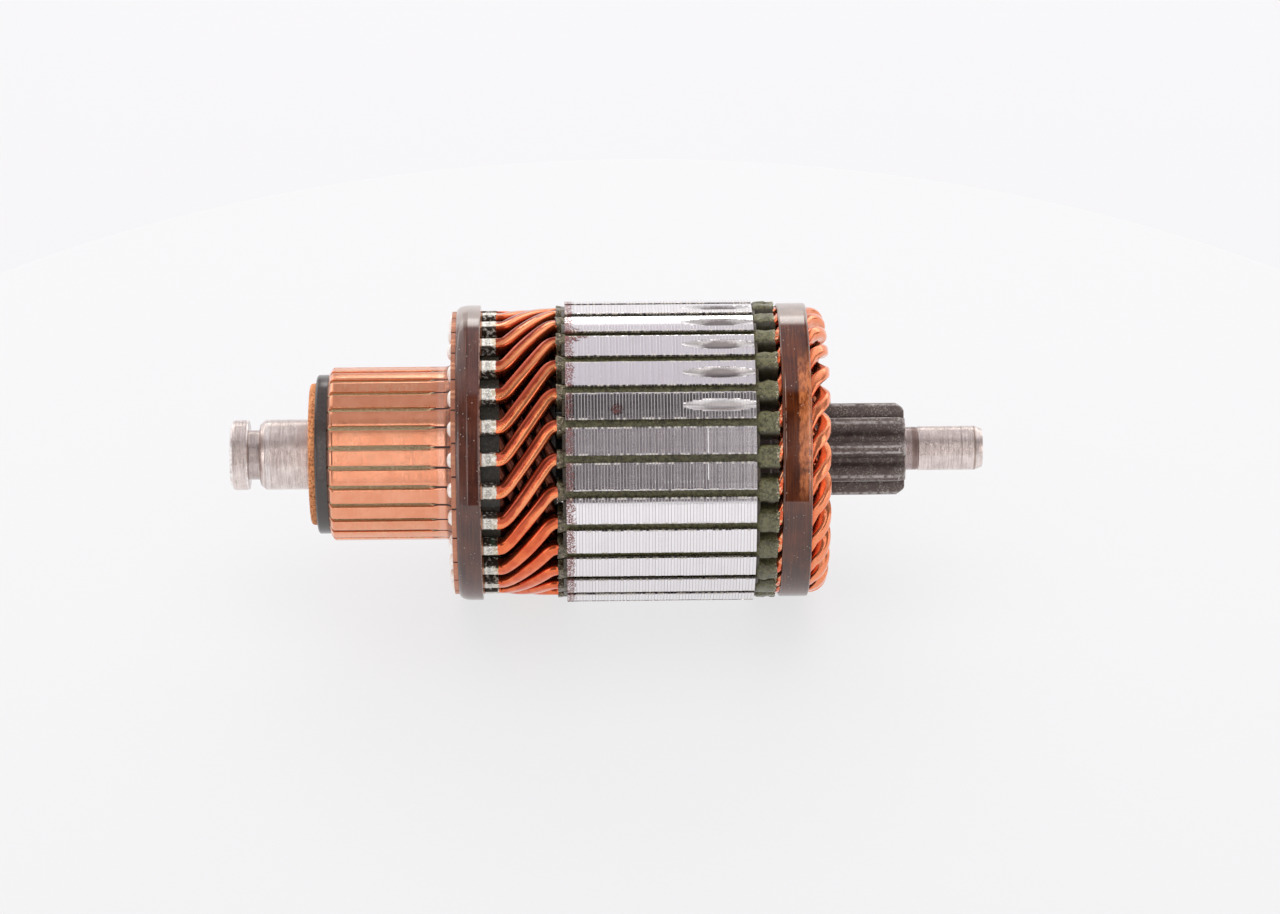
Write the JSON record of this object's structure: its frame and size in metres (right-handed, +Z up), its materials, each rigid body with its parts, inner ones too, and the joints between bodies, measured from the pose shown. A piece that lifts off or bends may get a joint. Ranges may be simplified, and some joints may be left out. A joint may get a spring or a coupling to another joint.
{
  "type": "motor armature",
  "caption": "Wound motor armature: slotted laminated core with hairpin copper coils, banded coil ends, copper commutator, and a shaft with an integral pinion.",
  "frame": {"origin": "on the shaft axis, at the middle of the commutator-end bearing seat", "axes": "+X along the shaft axis from the commutator end towards the pinion, +Z up with one core slot facing straight down, -Y towards the front"},
  "size_m": [0.1824, 0.073, 0.073],
  "materials": {
    "shaft_steel": "turned and ground, worn, dark on the pinion",
    "lamination_steel": "turned edges of punched laminations",
    "end_fibre": "pressed insulating board",
    "liner_paper": "olive insulating paper, varnished",
    "enamelled_copper": "copper under glossy orange enamel, tinned at the ends",
    "bare_copper": "turned copper",
    "mica": "matte olive",
    "phenolic": "black moulding",
    "ring_steel": "plain",
    "washer_fibre": "coarse red-brown fibre",
    "weld_metal": "bright fused metal",
    "banding": "resin-bonded glass banding, brown and glossy"
  },
  "bodies": {
    "root": {"armature_shaft": "shaft_steel", "core_stack": "lamination_steel", "front_end_disc": "end_fibre", "rear_end_disc": "end_fibre", "slot_liners": "liner_paper", "slot_separators": "liner_paper", "armature_coils": "enamelled_copper", "commutator_bars": "bare_copper", "mica_segments": "mica", "commutator_moulding": "phenolic", "commutator_bush": "ring_steel", "front_anchor_ring": "ring_steel", "rear_anchor_ring": "ring_steel", "fibre_washer": "washer_fibre", "riser_welds": "weld_metal", "front_layer_insulation": "liner_paper", "rear_layer_insulation": "liner_paper", "front_band": "banding", "rear_band": "banding"}
  },
  "joints": []
}
